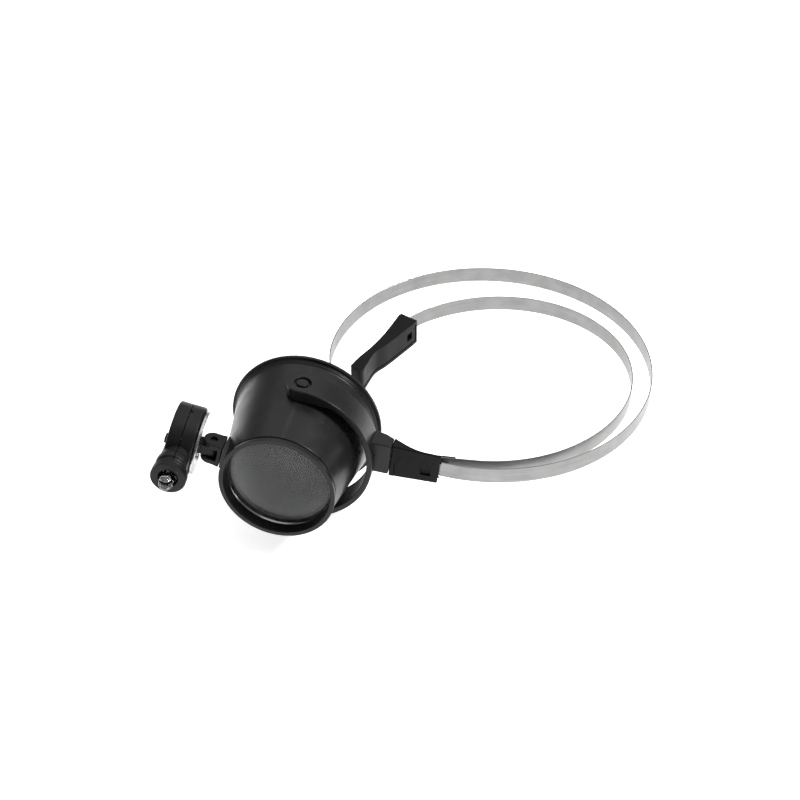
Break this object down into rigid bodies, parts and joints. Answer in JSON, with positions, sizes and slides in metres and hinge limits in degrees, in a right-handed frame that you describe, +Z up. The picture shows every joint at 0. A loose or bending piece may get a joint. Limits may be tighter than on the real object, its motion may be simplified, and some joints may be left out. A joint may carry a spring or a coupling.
{
  "type": "head-worn eye loupe",
  "caption": "Head-worn eye loupe: lens in a tapered eyecup, pivoted in a C-shaped yoke on sprung steel head hoops, with a hinged battery lamp.",
  "frame": {"origin": "middle of the wearer's head: centre of the inner head hoop, at half the height of the strips", "axes": "+Z up as worn, with both hoops level; the lens looks along about -Y; +X runs across the head, away from the eyecup"},
  "size_m": [0.1731, 0.1371, 0.055],
  "materials": {
    "black_plastic": "satin moulded",
    "lamp_plastic": "fine matt moulded",
    "strip_steel": "brushed along the strip",
    "plated_steel": "bright nickel plated",
    "clear_acrylic": "polished optical",
    "clear_resin": "clear cast"
  },
  "bodies": {
    "outer_hoop": {"front_arm": "black_plastic", "outer_band": "strip_steel", "outer_end_pad": "black_plastic", "flip_screw": "plated_steel", "band_rivet": "plated_steel"},
    "yoke": {"yoke": "black_plastic", "friction_washer": "plated_steel"},
    "eyecup": {"eyecup_shell": "black_plastic", "lens": "clear_acrylic", "lens_retaining_ring": "black_plastic", "pivot_pin_top": "black_plastic", "pivot_pin_bottom": "black_plastic", "lamp_bracket": "lamp_plastic", "bracket_screw": "plated_steel", "lamp_hinge_pin": "plated_steel"},
    "lamp": {"lamp_shell_outer": "lamp_plastic", "lamp_shell_inner": "lamp_plastic", "lamp_side_plate": "plated_steel", "plate_screw": "plated_steel", "lamp_nose_ring": "lamp_plastic", "led_bulb": "clear_resin", "led_lead_long": "plated_steel", "led_lead_short": "plated_steel", "button_cell_outer": "plated_steel", "button_cell_inner": "plated_steel", "contact_plate": "plated_steel", "contact_spring": "plated_steel"},
    "switch": {"switch_slider": "lamp_plastic"},
    "inner_hoop": {"inner_arm": "black_plastic", "inner_band": "strip_steel", "strip_rivet": "plated_steel", "inner_end_pad": "black_plastic"}
  },
  "joints": [
    {"name": "flip", "type": "hinge", "parent": "outer_hoop", "child": "yoke", "pos_m": [-0.03799, -0.04255, 0], "axis": [0.9694, -0.2131, -0.1219], "range_deg": [-30, 30]},
    {"name": "cup_pivot", "type": "hinge", "parent": "yoke", "child": "eyecup", "pos_m": [-0.07088, -0.03598, 0.00012], "axis": [0.1319, 0.0335, 0.9907], "range_deg": [-6, 12]},
    {"name": "lamp_hinge", "type": "hinge", "parent": "eyecup", "child": "lamp", "pos_m": [-0.09812, -0.04573, 0.00729], "axis": [0.2524, 0.0065, 0.9676], "range_deg": [-20, 35]},
    {"name": "switch_slide", "type": "slide", "parent": "lamp", "child": "switch", "axis": [0.1423, 0.9889, -0.0438], "range_m": [0, 0.002]},
    {"name": "hoop_spread", "type": "hinge", "parent": "outer_hoop", "child": "inner_hoop", "pos_m": [-0.0283, -0.04273, 0], "axis": [0.2147, 0.9767, 0], "range_deg": [-40, 15]}
  ]
}
